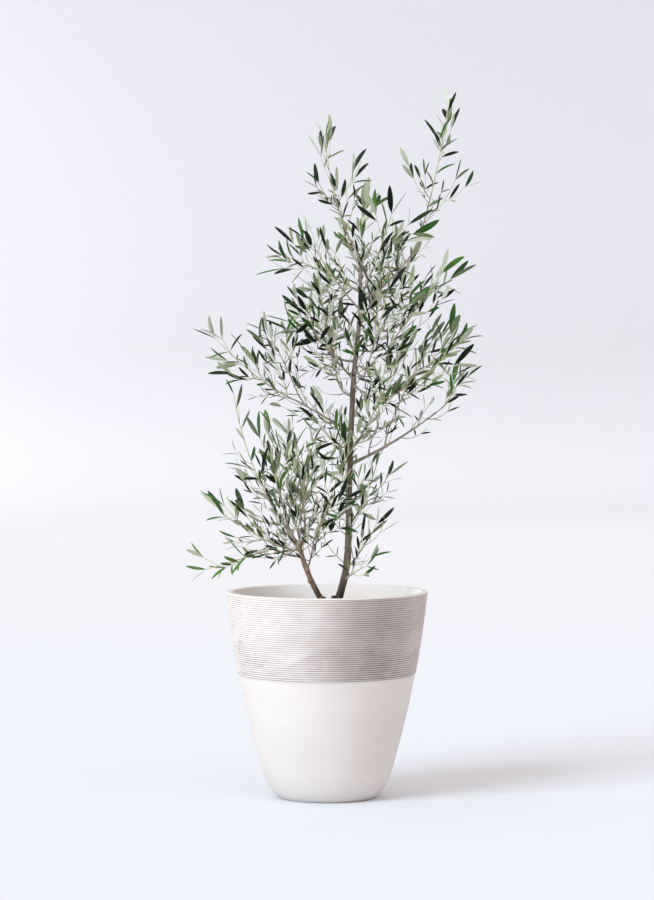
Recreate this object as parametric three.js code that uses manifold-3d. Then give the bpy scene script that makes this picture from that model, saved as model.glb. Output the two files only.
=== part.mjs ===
// A young olive tree in a round ribbed pot: a trunk and a second stem that rise from the soil,
// their boughs, and masses of foliage that grow from the boughs' tips or from the trunk.
// Millimetres, +Z up. The origin is the middle of the pot's flat underside, +X is the side of
// the long low bough, and -Y is the front.
import * as THREE from "three";
import { mergeVertices } from "three/addons/utils/BufferGeometryUtils.js";
import Module from "manifold-3d";

const wasm = await Module();
wasm.setup();
const { Manifold, Mesh } = wasm;

// Driving dimensions of the pot and its soil
const POT_HEIGHT = 307;
const RIM_RADIUS = 150;
const SHOULDER = { radius: 133.4, height: 162.7 };
const HEEL = { radius: 96, height: 38 };
const HEEL_CORNER = { radius: 86, height: 8 };
const FOOT_RADIUS = 70;
const BAND_BOTTOM = 184.5;
const BAND_STEP = 1.2;
const WALL = 10;
const LIP_ROUND = 2.6;
const SOIL_HEIGHT = 282;
const ROUND_SIDES = 32;
const OUTER_STEPS = 5;
const INNER_STEPS = 3;
const HEEL_STEPS = 2;
const GAP = 0.3;

// Driving dimensions of the wood: each stem runs through its points, from a little under the ground,
// where it is cut flat, and tapers evenly above its flare
const TRUNK_POINTS = [[12, 0, 274], [30, 0, 353], [33, 4, 472], [39, 8, 613], [48, 6, 710], [50, 4, 775]];
const SECOND_STEM_POINTS = [[2, 4, 274], [-25, 2, 326], [-43, 0, 377]];
const TRUNK_RADII = { root: 6.1, end: 2.6, flare: 2.4 };
const SECOND_STEM_RADII = { root: 4.7, end: 3.6, flare: 1.6 };
const FLARE_HEIGHT = 26;
const STEM_STEPS = 3;
const BOUGH_STEPS = 4;
const STEM_SIDES = 8;
const BOUGH_SIDES = 6;

// One row a bough: name, what it grows from, share along that, tip, how far its middle bows out,
// radius at the root, radius at the tip
const BOUGHS = [
  ["leader_bough", "trunk", 1, [33, -4, 831], [8, 0, 4], 2.5, 1.7],
  ["tall_bough", "trunk", 0.87, [134, 34, 819], [10, 0, -8], 2.1, 1.3],
  ["right_bough", "trunk", 0.435, [169, -40, 580], [-6, -8, -16], 2.9, 1.2],
  ["right_inner_riser", "right_bough", 0.22, [74, -50, 555], [-6, -4, -4], 1.4, 1.1],
  ["right_outer_riser", "right_bough", 0.4, [103, -18, 577], [-6, 0, -4], 1.4, 1.1],
  ["right_mid_bough", "trunk", 0.6, [87, -50, 595], [0, -6, -10], 1.9, 1.3],
  ["right_upper_bough", "trunk", 0.7, [91, 0, 671], [4, -4, -10], 1.8, 1.2],
  ["left_bough", "trunk", 0.5, [-42, 20, 588], [0, 6, 0], 2.3, 1.4],
  ["left_riser", "left_bough", 0.86, [-51, 8, 618], [-4, 0, 0], 1.3, 1.0],
  ["left_upper_bough", "trunk", 0.665, [11, 8, 656], [-4, 4, -4], 2.1, 1.4],
  ["front_bough", "trunk", 0.64, [55, -62, 629], [4, -6, -10], 1.8, 1.2],
  ["back_bough", "trunk", 0.575, [17, 62, 617], [-4, 8, -10], 1.9, 1.3],
  ["back_right_bough", "trunk", 0.72, [71, 60, 677], [4, 8, -10], 1.8, 1.2],
  ["stem_left_bough", "second_stem", 1, [-59, -10, 410], [-4, 0, -2], 2.8, 1.8],
  ["stem_right_bough", "second_stem", 0.93, [-33, 12, 412], [5, 2, 0], 2.2, 1.5],
  ["stem_low_bough", "second_stem", 0.82, [-81, -16, 371], [0, -2, -6], 1.9, 1.2],
  ["stem_inner_bough", "second_stem", 0.62, [-20, -34, 384], [2, -6, -4], 1.8, 1.2],
  ["stem_back_bough", "second_stem", 0.74, [-43, 48, 398], [0, 8, -8], 1.8, 1.2],
];

// One row a mass of foliage: name, limb it grows from, share along that, tip of its stem, how far the
// stem's middle bows out, length of its longest twigs, number of twigs, seed
const MASSES = [
  ["leader_foliage", "leader_bough", 1, [-2, -10, 979], [-14, 0, 0], 62, 6, 6],
  ["tall_foliage", "tall_bough", 1, [180, 50, 1021], [8, 0, 0], 95, 4, 22],
  ["right_tip_foliage", "right_bough", 1, [186, -52, 617], [6, 0, -6], 75, 5, 10],
  ["right_inner_foliage", "right_inner_riser", 1, [98, -85, 695], [-8, 0, 0], 70, 7, 52],
  ["right_outer_foliage", "right_outer_riser", 1, [168, -10, 688], [-6, 0, 8], 80, 7, 20],
  ["right_mid_foliage", "right_mid_bough", 1, [190, -100, 675], [10, 0, -10], 80, 6, 39],
  ["right_upper_foliage", "right_upper_bough", 1, [169, -30, 778], [0, 0, -4], 80, 6, 44],
  ["left_tip_foliage", "left_bough", 1, [-167, 40, 683], [0, 0, -20], 62, 8, 3],
  ["left_riser_foliage", "left_riser", 1, [-87, 0, 689], [0, 0, 8], 65, 6, 47],
  ["left_mid_foliage", "trunk", 0.615, [-44, -90, 739], [-8, 0, -8], 75, 6, 29],
  ["left_upper_foliage", "left_upper_bough", 1, [-15, -40, 795], [-6, 0, 0], 70, 7, 9],
  ["left_high_foliage", "trunk", 0.92, [-65, 30, 806], [0, 0, 10], 66, 6, 22],
  ["high_left_foliage", "trunk", 0.84, [-26, -50, 830], [-6, 0, -6], 66, 7, 27],
  ["high_back_foliage", "trunk", 0.95, [54, 90, 882], [0, 10, -10], 66, 6, 13],
  ["high_front_foliage", "trunk", 0.89, [94, -100, 863], [0, -10, -10], 70, 6, 36],
  ["high_right_foliage", "trunk", 0.79, [113, 44, 830], [4, 10, -12], 66, 7, 20],
  ["front_foliage", "front_bough", 1, [88, -165, 752], [0, -10, -10], 75, 6, 57],
  ["back_foliage", "back_bough", 1, [-13, 165, 757], [0, 10, -10], 80, 6, 52],
  ["back_right_foliage", "back_right_bough", 1, [128, 160, 800], [0, 10, -10], 80, 6, 37],
  ["back_low_foliage", "trunk", 0.46, [100, 150, 634], [0, 12, -20], 80, 7, 11],
  ["left_low_foliage", "trunk", 0.465, [-12, -60, 556], [0, -4, -14], 60, 5, 36],
  ["low_front_foliage", "trunk", 0.34, [25, -95, 526], [0, -10, -14], 62, 6, 8],
  ["low_back_foliage", "trunk", 0.29, [77, 60, 503], [6, 8, -14], 66, 6, 23],
  ["low_right_foliage", "trunk", 0.17, [73, -20, 407], [0, 0, -10], 55, 5, 20],
  ["low_left_foliage", "trunk", 0.13, [58, -50, 348], [0, 0, 4], 40, 3, 10],
  ["stem_left_foliage", "stem_left_bough", 1, [-86, -40, 539], [-4, 0, 0], 75, 6, 1],
  ["stem_outer_foliage", "second_stem", 0.97, [-140, 50, 599], [-30, 4, -10], 50, 5, 25],
  ["stem_side_foliage", "second_stem", 0.9, [-152, -10, 434], [-10, 0, -24], 70, 7, 8],
  ["stem_right_foliage", "stem_right_bough", 1, [-52, 40, 549], [4, 0, 0], 75, 6, 57],
  ["stem_low_foliage", "stem_low_bough", 1, [-177, -50, 343], [0, 0, 0], 42, 4, 6],
  ["stem_inner_foliage", "stem_inner_bough", 1, [17, -95, 491], [4, -4, -4], 70, 6, 4],
  ["stem_back_foliage", "stem_back_bough", 1, [-22, 135, 519], [0, 10, -6], 80, 6, 33],
];

// The rule that every mass grows by: twigs spiral up its stem, and each bears leaves in pairs.
// Pairs of numbers are the low and the high end of a draw, and angles are in degrees.
const MASS_STEM_RADIUS = 1.6;
const MASS_STEM_TIP = 0.9;
const MASS_STEM_STEPS = 5;
const TWIG_ROOT_SHARE = 0.5;
const TWIG_TIP = 0.6;
const TWIG_STEPS = 1;
const TWIG_ZONE = { from: 0.05, span: 0.8 };
const TWIG_PLACE = [0.1, 0.9];
const GOLDEN_TURN = 137.5;
const TWIG_TURN = [-30, 30];
const TWIG_LEAN = [34, 62];
const TWIG_SIZE = [0.75, 1.15];
const TWIG_SHORTENING = 0.5;
const TWIG_LIFT = [0, 0.4];
const TWIG_FOLLOW = 0.25;
const TWIG_CUTS = [1, 0.7];
const FIRST_LEAVES = 10;
const LEAF_SPACING = 17;
const LEAF_SIZE = [30, 50];
const LEAF_WIDTH = [0.13, 0.2];
const LEAF_TURN = [-17, 17];
const LEAF_LEAN = [28, 62];
const TIP_LEAF_LEAN = [12, 30];
const LEAF_TWIST = [-28, 28];
const LEAF_GROWTH = { inner: 0.78, outer: 1.06, root: 0.74, tip: 0.98 };
const SPACE_MARGIN = 3;
const LIMB_CLEARANCE = 2.5;
const LEAF_FOOT_CLEARANCE = 1.5;
const POT_CLEARANCE = { radius: 162, height: 316 };
// A leaf here is a little longer and wider than a real one, because most pairs are left out
const LEAF_LENGTHENING = 1.12;
const LEAF_WIDENING = 1.45;
const LEAF_THICKNESS = 2;
const LEAF_SINK = 0.8;
const SMOOTHING = 0.01;

const UP = new THREE.Vector3(0, 0, 1);
const degrees = THREE.MathUtils.degToRad;
const vector = (numbers) => new THREE.Vector3(...numbers);

// A repeatable stream of numbers between a low and a high value
function draws(seed) {
  let state = seed % 2147483647;
  const draw = (low, high) => {
    state = (state * 16807) % 2147483647;
    return low + ((high - low) * state) / 2147483647;
  };
  for (let i = 0; i < 3; i++) draw(0, 1);
  return draw;
}

// The points of a smooth bend from a start to a tip, whose middle bows out
function bend(start, control, tip, steps) {
  return new THREE.QuadraticBezierCurve3(start, control, tip).getPoints(steps);
}

// The place and the direction at a share of a path of points
function along(path, share) {
  const place = share * (path.length - 1);
  const k = Math.min(Math.floor(place), path.length - 2);
  return {
    point: path[k].clone().lerp(path[k + 1], place - k),
    axis: path[k + 1].clone().sub(path[k]).normalize(),
  };
}

function lengthOf(path) {
  return path.slice(1).reduce((sum, point, i) => sum + point.distanceTo(path[i]), 0);
}

// The world axis that a path runs least along, from which turns round the path are measured
function referenceOf(path) {
  const chord = path[path.length - 1].clone().sub(path[0]);
  const sizes = chord.toArray().map(Math.abs);
  const least = sizes.indexOf(Math.min(...sizes));
  return new THREE.Vector3().setComponent(least, 1);
}

// The direction square to an axis at an angle round it
function sideOf(axis, reference, roll) {
  const u = new THREE.Vector3().crossVectors(axis, reference).normalize();
  const v = new THREE.Vector3().crossVectors(axis, u);
  return u.multiplyScalar(Math.cos(roll)).addScaledVector(v, Math.sin(roll));
}

// Solids and meshes
function closedGeometry(geometry) {
  geometry.deleteAttribute("normal");
  geometry.deleteAttribute("uv");
  const merged = mergeVertices(geometry);
  const faces = [...merged.index.array];
  const whole = (i) => new Set(faces.slice(i, i + 3)).size === 3;
  merged.setIndex(faces.filter((_, i) => whole(i - (i % 3))));
  return merged;
}

function solidOf(geometry) {
  return new Manifold(
    new Mesh({
      numProp: 3,
      vertProperties: new Float32Array(geometry.attributes.position.array),
      triVerts: new Uint32Array(geometry.index.array),
    }),
  );
}

// The largest of the bodies that a cut leaves
function largestBody(solid) {
  return solid.decompose().reduce((best, body) => (body.volume() > best.volume() ? body : best));
}

function meshOf(name, solid, material) {
  const { vertProperties, triVerts } = solid.getMesh();
  const geometry = new THREE.BufferGeometry();
  geometry.setAttribute("position", new THREE.BufferAttribute(vertProperties, 3));
  geometry.setIndex(new THREE.BufferAttribute(triVerts, 1));
  geometry.computeVertexNormals();
  const mesh = new THREE.Mesh(geometry, material);
  mesh.name = name;
  return mesh;
}

// A closed skin round rings: each ring has a middle, two directions square to the way, and a reach along both
function skin(rings, sides) {
  const last = rings.length - 1;
  const geometry = new THREE.CylinderGeometry(1, 1, 1, sides, last);
  const position = geometry.attributes.position;
  for (let i = 0; i < position.count; i++) {
    const { middle, face, edge, faceReach, edgeReach } = rings[Math.round((0.5 - position.getY(i)) * last)];
    const spot = middle
      .clone()
      .addScaledVector(face, faceReach * position.getX(i))
      .addScaledVector(edge, edgeReach * position.getZ(i));
    position.setXYZ(i, spot.x, spot.y, spot.z);
  }
  return solidOf(closedGeometry(geometry));
}

// The rings of a tapering tube along a path, longer and thicker by grow
function ringsOf(path, radiusAt, grow = 0) {
  const last = path.length - 1;
  const reference = referenceOf(path);
  return path.map((point, i) => {
    const axis = path[Math.min(i + 1, last)].clone().sub(path[Math.max(i - 1, 0)]).normalize();
    const face = sideOf(axis, reference, 0);
    const edge = new THREE.Vector3().crossVectors(axis, face);
    const shift = (i === last) - (i === 0);
    const middle = point.clone().addScaledVector(axis, grow * shift);
    const radius = radiusAt(i / last) + grow;
    return { middle, face, edge, faceReach: radius, edgeReach: radius };
  });
}

// The pot, turned as one wall from the foot to the lip and back down inside
function profileCurve(from, through, to, steps) {
  return new THREE.QuadraticBezierCurve(
    new THREE.Vector2(from.radius, from.height),
    new THREE.Vector2(through.radius, through.height),
    new THREE.Vector2(to.radius, to.height),
  ).getPoints(steps);
}

const inwards = (p) => new THREE.Vector2(p.x - WALL, p.y);
const rimCorner = { radius: RIM_RADIUS - BAND_STEP, height: POT_HEIGHT - LIP_ROUND };
const heelCurve = profileCurve({ radius: FOOT_RADIUS, height: 0 }, HEEL_CORNER, HEEL, HEEL_STEPS);
const outerWall = profileCurve(HEEL, SHOULDER, rimCorner, OUTER_STEPS);
const innerWall = profileCurve(HEEL, SHOULDER, rimCorner, INNER_STEPS).map(inwards);

// The radius of a face of the wall at a height
function radiusOf(wall, height) {
  const k = wall.findIndex((p) => p.y > height);
  const [low, high] = [wall[k - 1], wall[k]];
  return THREE.MathUtils.lerp(low.x, high.x, (height - low.y) / (high.y - low.y));
}

const floorCorner = new THREE.Vector2(HEEL_CORNER.radius - WALL, WALL);
const bandRadius = radiusOf(outerWall, BAND_BOTTOM);
const potProfile = [
  new THREE.Vector2(0, 0),
  ...heelCurve.slice(0, -1),
  ...outerWall.filter((p) => p.y < BAND_BOTTOM),
  new THREE.Vector2(bandRadius, BAND_BOTTOM),
  new THREE.Vector2(bandRadius + BAND_STEP, BAND_BOTTOM),
  ...outerWall.filter((p) => p.y > BAND_BOTTOM).map((p) => new THREE.Vector2(p.x + BAND_STEP, p.y)),
  new THREE.Vector2(RIM_RADIUS - LIP_ROUND / 2, POT_HEIGHT),
  new THREE.Vector2(RIM_RADIUS - WALL, POT_HEIGHT),
  ...innerWall.toReversed(),
  floorCorner,
  new THREE.Vector2(0, WALL),
];

// The soil fills the pot to a little below its rim, clear of the wall
const soilProfile = [
  new THREE.Vector2(0, WALL + GAP),
  new THREE.Vector2(floorCorner.x - GAP, WALL + GAP),
  ...innerWall.filter((p) => p.y < SOIL_HEIGHT).map((p) => new THREE.Vector2(p.x - GAP, p.y)),
  new THREE.Vector2(radiusOf(innerWall, SOIL_HEIGHT) - GAP, SOIL_HEIGHT),
  new THREE.Vector2(0, SOIL_HEIGHT),
];

// A body turned round the upright axis
function turned(profile) {
  return solidOf(closedGeometry(new THREE.LatheGeometry(profile, ROUND_SIDES).rotateX(Math.PI / 2)));
}

// The trunk, the second stem and the boughs
const limbs = new Map();

function stem(name, points, { root, end, flare }) {
  const curve = new THREE.CatmullRomCurve3(points.map(vector), false, "catmullrom", 0.5);
  const path = curve.getPoints((points.length - 1) * STEM_STEPS);
  const length = lengthOf(path);
  const radiusAt = (share) => {
    const rise = share * length;
    return THREE.MathUtils.lerp(root, end, share) + flare * Math.exp((-3 * rise) / FLARE_HEIGHT);
  };
  limbs.set(name, { path, radiusAt, sides: STEM_SIDES });
}

function bough([name, parent, at, tip, bow, root, end]) {
  const { point: start } = along(limbs.get(parent).path, at);
  const finish = vector(tip);
  const control = start.clone().lerp(finish, 0.5).add(vector(bow));
  const path = bend(start, control, finish, BOUGH_STEPS);
  limbs.set(name, { path, radiusAt: (share) => THREE.MathUtils.lerp(root, end, share), sides: BOUGH_SIDES });
}

stem("trunk", TRUNK_POINTS, TRUNK_RADII);
stem("second_stem", SECOND_STEM_POINTS, SECOND_STEM_RADII);
BOUGHS.forEach(bough);

// The stems of the masses, and the space that each mass keeps to: what is nearer to its stem than to others
const massStems = new Map();
for (const [name, limb, at, tip, bow] of MASSES) {
  const { point: start } = along(limbs.get(limb).path, at);
  const finish = vector(tip);
  const control = start.clone().lerp(finish, 0.5).add(vector(bow));
  massStems.set(name, bend(start, control, finish, MASS_STEM_STEPS));
}

function distanceToPath(path, point) {
  const line = new THREE.Line3();
  const near = new THREE.Vector3();
  let best = Infinity;
  for (let i = 0; i + 1 < path.length; i++) {
    line.set(path[i], path[i + 1]).closestPointToPoint(point, true, near);
    best = Math.min(best, near.distanceTo(point));
  }
  return best;
}

function inOwnSpace(name, points) {
  return points.every((point) => {
    const own = distanceToPath(massStems.get(name), point) + SPACE_MARGIN;
    return [...massStems].every(([other, path]) => other === name || distanceToPath(path, point) > own);
  });
}

function clearOfLimbs(points, clearance) {
  const line = new THREE.Line3();
  const near = new THREE.Vector3();
  return points.every((point) =>
    [...limbs.values()].every(({ path, radiusAt }) =>
      path.slice(1).every((end, i) => {
        line.set(path[i], end).closestPointToPoint(point, true, near);
        return near.distanceTo(point) - radiusAt(i / (path.length - 1)) > clearance;
      }),
    ),
  );
}

function clearOfPot(points) {
  return points.every(
    (p) => Math.hypot(p.x, p.y) > POT_CLEARANCE.radius || p.z > POT_CLEARANCE.height,
  );
}

// The twigs of one mass: its stem first, then the side twigs that spiral up it
function twigsOf([name, limb, at, , , reach, count, seed]) {
  const stemPath = massStems.get(name);
  const stemRadius = at === 1 ? limbs.get(limb).radiusAt(1) : MASS_STEM_RADIUS;
  const ownTwig = { path: stemPath, root: stemRadius, end: MASS_STEM_TIP, firstPair: 0, place: 0.5 };
  const twigs = [{ ...ownTwig, seed: seed * 31 + 1 }];
  const draw = draws(seed * 7919);
  const reference = referenceOf(stemPath);
  let roll = draw(0, 360);
  for (let k = 0; k < count; k++) {
    const place = TWIG_ZONE.from + (TWIG_ZONE.span * (k + draw(...TWIG_PLACE))) / count;
    roll += GOLDEN_TURN + draw(...TWIG_TURN);
    const lean = degrees(draw(...TWIG_LEAN));
    const size = reach * (1 - TWIG_SHORTENING * place) * draw(...TWIG_SIZE);
    const lift = draw(...TWIG_LIFT);
    const { point, axis } = along(stemPath, place);
    const direction = sideOf(axis, reference, degrees(roll))
      .multiplyScalar(Math.sin(lean))
      .addScaledVector(axis, Math.cos(lean));
    const aim = direction.clone().addScaledVector(axis, TWIG_FOLLOW).addScaledVector(UP, lift).normalize();
    for (const cut of TWIG_CUTS) {
      const control = point.clone().addScaledVector(direction, size * cut * 0.5);
      const path = bend(point, control, point.clone().addScaledVector(aim, size * cut), TWIG_STEPS);
      const free = path.slice(1);
      if (inOwnSpace(name, free) && clearOfLimbs(free, LIMB_CLEARANCE) && clearOfPot(free)) {
        const root = TWIG_ROOT_SHARE * THREE.MathUtils.lerp(stemRadius, MASS_STEM_TIP, place);
        twigs.push({ path, root, end: TWIG_TIP, firstPair: k % 2, place, seed: seed * 31 + 7 * k + 2 });
        break;
      }
    }
  }
  return twigs;
}

// The leaves of one twig: two at its tip, and pairs along it that each stand square to the pair before.
// One of the tip leaves is kept, and one of every second pair, on the two sides in turn.
function leavesOf(name, twig) {
  const draw = draws(twig.seed * 613);
  const length = lengthOf(twig.path);
  const reference = referenceOf(twig.path);
  const turn = draw(0, 180);
  const { lerp } = THREE.MathUtils;
  const growth = lerp(LEAF_GROWTH.inner, LEAF_GROWTH.outer, twig.place) * LEAF_LENGTHENING;
  const pairs = length > FIRST_LEAVES ? Math.floor((length - FIRST_LEAVES) / LEAF_SPACING) + 1 : 0;
  const leaves = [];
  for (let i = 0; i <= pairs; i++) {
    const last = i === pairs;
    const share = Math.min(1, (last ? length : FIRST_LEAVES + i * LEAF_SPACING) / length);
    const { point, axis } = along(twig.path, share);
    for (const side of [0, 1]) {
      const roll = degrees(turn + 90 * i + 180 * side + draw(...LEAF_TURN));
      const lean = degrees(last ? draw(...TIP_LEAF_LEAN) : draw(...LEAF_LEAN) * (1 - 0.25 * share));
      const size = draw(...LEAF_SIZE) * lerp(LEAF_GROWTH.root, LEAF_GROWTH.tip, share) * growth;
      const width = size * draw(...LEAF_WIDTH) * LEAF_WIDENING;
      // The next two numbers belong to a leaf's fall and its arch, and these leaves are straight
      draw(0, 1);
      draw(0, 1);
      const twist = degrees(draw(...LEAF_TWIST));
      const kept = last ? side === 0 : i % 2 === twig.firstPair && side === Math.floor(i / 2) % 2;
      if (!kept) continue;
      const across = sideOf(axis, reference, roll);
      const line = axis.clone().multiplyScalar(Math.cos(lean)).addScaledVector(across, Math.sin(lean));
      const face = axis.clone().multiplyScalar(Math.sin(lean)).addScaledVector(across, -Math.cos(lean));
      const edge = new THREE.Vector3().crossVectors(line, face);
      face.multiplyScalar(Math.cos(twist)).addScaledVector(edge, Math.sin(twist));
      edge.crossVectors(line, face);
      const spot = (part, sideways) =>
        point.clone().addScaledVector(line, size * part).addScaledVector(edge, width * sideways);
      const foot = [spot(0.28, 0)];
      const blade = [spot(0.5, 0.5), spot(0.5, -0.5), spot(0.75, 0), spot(1, 0)];
      const free = [...foot, ...blade];
      if (!inOwnSpace(name, free) || !clearOfPot(free)) continue;
      if (!clearOfLimbs(foot, LEAF_FOOT_CLEARANCE) || !clearOfLimbs(blade, LIMB_CLEARANCE)) continue;
      leaves.push({ point, line, face, edge, size, width, lean, last });
    }
  }
  return leaves;
}

// The rings of a leaf from its widest place to its tip: flat below, with a low ridge above
function bladeRings({ point, line, face, edge, size, width }) {
  const ring = (share, thick, wide) => ({
    middle: point.clone().addScaledVector(line, size * share),
    face,
    edge,
    faceReach: thick,
    edgeReach: wide / Math.sqrt(3),
  });
  return [ring(0.5, LEAF_THICKNESS, width), ring(1, 0, 0)];
}

// A side leaf starts at a point sunk into its twig
function leafSolid(leaf, twigRadius) {
  const sink = (LEAF_SINK * twigRadius) / Math.sin(Math.max(leaf.lean, 0.5));
  const [widest, tip] = bladeRings(leaf);
  const root = { ...tip, middle: leaf.point.clone().addScaledVector(leaf.line, -sink) };
  return skin([root, widest, tip], 3);
}

// A twig runs on into the leaf at its tip
function twigSolid(twig, tipLeaf) {
  const radiusAt = (share) => THREE.MathUtils.lerp(twig.root, twig.end, share);
  const rings = ringsOf(twig.path, radiusAt);
  return skin(tipLeaf ? [...rings, ...bladeRings(tipLeaf)] : rings, 3);
}

// Each limb is cut flat at the ground and clear of the limbs before it, and each mass clear of every limb
const limbSolids = new Map();
const limbRooms = [];
for (const [name, { path, radiusAt, sides }] of limbs) {
  let solid = skin(ringsOf(path, radiusAt), sides).trimByPlane([0, 0, 1], SOIL_HEIGHT + GAP);
  for (const room of limbRooms) solid = solid.subtract(room);
  limbSolids.set(name, largestBody(solid));
  limbRooms.push(skin(ringsOf(path, radiusAt, GAP), sides));
}

// Each mass keeps clear of the masses before it and of the stems of those after it: a twig that would
// come too near is left out with its leaves, and so is such a leaf
const growths = MASSES.map((row) => ({ name: row[0], twigs: twigsOf(row) }));
const bareStems = growths.map(({ twigs }) => twigSolid(twigs[0]));
const massSolids = new Map();
growths.forEach(({ name, twigs }, i) => {
  const others = Manifold.compose([...massSolids.values(), ...bareStems.slice(i + 1)]);
  const isClear = (piece) => piece.minGap(others, GAP) >= GAP;
  const pieces = [];
  for (const twig of twigs) {
    const leaves = leavesOf(name, twig);
    const wood = twigSolid(twig, leaves.find((leaf) => leaf.last));
    if (isClear(wood)) pieces.push(wood);
    else if (twig === twigs[0]) pieces.push(bareStems[i]);
    else continue;
    const blades = leaves.filter((leaf) => !leaf.last).map((leaf) => leafSolid(leaf, twig.end));
    pieces.push(...blades.filter(isClear));
  }
  let solid = Manifold.union(pieces);
  for (const room of limbRooms) solid = solid.subtract(room);
  massSolids.set(name, largestBody(solid.simplify(SMOOTHING)));
});

// Materials
const material = (color, roughness) => new THREE.MeshStandardMaterial({ color, roughness, metalness: 0 });
const potMaterial = material(0xe9e5e2, 0.6);
const soilMaterial = material(0x3b2e25, 0.95);
const barkMaterial = material(0x85796c, 0.85);
const stemMaterial = material(0x9a8676, 0.85);
const leafMaterial = material(0x5f7a4e, 0.55);

const tree = new THREE.Group();
tree.add(meshOf("pot", turned(potProfile), potMaterial));
tree.add(meshOf("soil", turned(soilProfile), soilMaterial));
for (const [name, solid] of limbSolids) {
  tree.add(meshOf(name, solid, name.includes("stem") ? stemMaterial : barkMaterial));
}
for (const [name, solid] of massSolids) tree.add(meshOf(name, solid, leafMaterial));

export default tree;
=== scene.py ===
# A young olive tree in a round ribbed pot: bark, twigs and leaves grown on the trunk, the second stem
# and their boughs, a turned pot with a ribbed band, and crumbly soil.
# Lengths are in millimetres up to the point where a mesh is made, and the middle of the pot's flat
# underside is the origin.
import math

import bpy
import numpy as np
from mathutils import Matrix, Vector, noise


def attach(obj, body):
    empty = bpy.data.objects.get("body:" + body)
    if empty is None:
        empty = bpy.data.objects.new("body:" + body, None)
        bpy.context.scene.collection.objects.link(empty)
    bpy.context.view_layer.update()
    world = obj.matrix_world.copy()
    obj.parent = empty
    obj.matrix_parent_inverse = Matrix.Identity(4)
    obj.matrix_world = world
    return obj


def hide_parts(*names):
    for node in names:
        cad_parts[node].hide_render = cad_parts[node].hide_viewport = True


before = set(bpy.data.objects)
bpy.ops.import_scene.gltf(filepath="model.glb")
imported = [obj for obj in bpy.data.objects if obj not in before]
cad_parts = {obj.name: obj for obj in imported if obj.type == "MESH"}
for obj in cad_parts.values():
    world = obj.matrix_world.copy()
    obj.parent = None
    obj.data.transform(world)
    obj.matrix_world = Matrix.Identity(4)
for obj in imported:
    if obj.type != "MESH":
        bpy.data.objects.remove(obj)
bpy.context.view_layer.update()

MM = 0.001

# Sizes of the pot and its soil
POT_HEIGHT = 307
RIM_RADIUS = 150
SHOULDER = (133.4, 162.7)
HEEL = (96, 38)
HEEL_CORNER = (86, 8)
FOOT_RADIUS = 70
BAND_BOTTOM = 184.5
BAND_TOP = 305.1
BAND_STEP = 1.2
WALL = 10
LIP_ROUND = 1.6
SOIL_HEIGHT = 282
GAP = 0.3
OUTER_SKIN = 2
HEEL_STEPS = 8
SIDE_STEPS = 26
WALL_STEPS = 60
INSIDE_STEPS = 24
POT_STEPS = 144
SOIL_RINGS = 64
SOIL_STEPS = 120

# The ribs of the band: places across one rib, as shares of its pitch, and how deep its surface lies
# there, as shares of the ribs' depth
RIBS = 38
RIB_DEPTH = 1.1
GROOVE_SHARE = 0.24
RIB_SHAPE = [(0.08, 0.85), (GROOVE_SHARE, 0.3), (0.5, 0), (1 - GROOVE_SHARE, 0.3), (0.92, 0.85), (1, 1)]
RIB_PITCH = (BAND_TOP - BAND_BOTTOM) / RIBS

# Wear of the ribs: how far they stray outwards and up or down, in millimetres, all over the band and on
# top of that at its foot. Their grooves hold painted shade, which is darker up to a wavering height.
FOOT_ZONE = 50
WEAR_OUT = (0.05, 0.35)
WEAR_OUT_GRAIN = (26, 26, 420)
WEAR_UP = (0.04, 0.5)
WEAR_UP_GRAIN = (14, 14, 130)
DARKER_GROOVE_HEIGHT = 216
DARKER_GROOVE_REACH = 45
DARKER_GROOVE_GRAIN = 26

# How far painted shade darkens the band, by how far to the right a place faces
PAINTED_SHADE_PLACES = ((-0.2, 0), (0.3, 1), (0.66, 1), (0.88, 0.2))
PAINTED_SHADE_DRIFT = 0.15
PAINTED_SHADE_GRAIN = 12

# The soil's surface, as hills of three sizes: their closeness and their height
SOIL_HILLS = ((1, 2.2), (4.3, 1.1), (11, 0.5))
SOIL_GRAIN = 24
SOIL_FALL = 1.5
CRUMBS = 900
CRUMB_REACH = 126
CRUMB_SIZE = (0.9, 3.2)
CRUMB_SHARES = ((0.7, 1.6), (0.6, 1.2), (0.4, 0.8))
CRUMB_LIFT = 0.2

# Points that the two stems run through, and their radii
TRUNK_POINTS = [(12, 0, 274), (30, 0, 353), (33, 4, 472), (39, 8, 613), (48, 6, 710), (50, 4, 775)]
SECOND_STEM_POINTS = [(2, 4, 274), (-25, 2, 326), (-43, 0, 377)]
TRUNK_RADII = {"root": 6.1, "end": 2.6, "flare": 2.4}
SECOND_STEM_RADII = {"root": 4.7, "end": 3.6, "flare": 1.6}
FLARE_HEIGHT = 26
STEM_STEPS = 8
BOUGH_STEPS = 12

# How deep the wood goes into the soil, its mesh, the swelling where a bough starts, the girth at which
# bark is young or old, and how far up damp soil and painted shade darken it. Its ridges run along it,
# and its lumps are higher than they are by a share.
WOOD_DEPTH = 6
WOOD_GRAIN = 0.8
BARK_RIDGES = (260, 260, 55)
BARK_LUMPS = (90, 90, 60)
LUMP_SHARE = 1.4
COLLAR_SWELL = 0.45
COLLAR_LENGTH = 5
YOUNG_GIRTH = (2.0, 4.2)
DAMP_AND_SHADE_HEIGHT = 345
DAMP_AND_SHADE_TONE = 0.3

# Knots, where a bough starts or a shoot was cut off: middle and size
TRUNK_KNOTS = [((42.5, 6, 636), (4.2, 4.2, 7)), ((31, 0, 372), (5.6, 5.4, 4)), ((34, 5, 505), (5.2, 5, 3.6)),
               ((11, -1, 298), (5.5, 3.5, 2.8))]
STEM_KNOTS = [((-29, -1, 338), (3.9, 3.9, 4.8)), ((-24, 2, 322), (5.2, 5, 4.4)),
              ((-6, 0, 297), (4.6, 3, 2.4)), ((-41, 0, 378), (5, 4.6, 5.5)),
              ((-37, 7, 397), (3.8, 3.6, 5)), ((-52, -5, 396), (3.4, 3.2, 4.4))]

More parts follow.
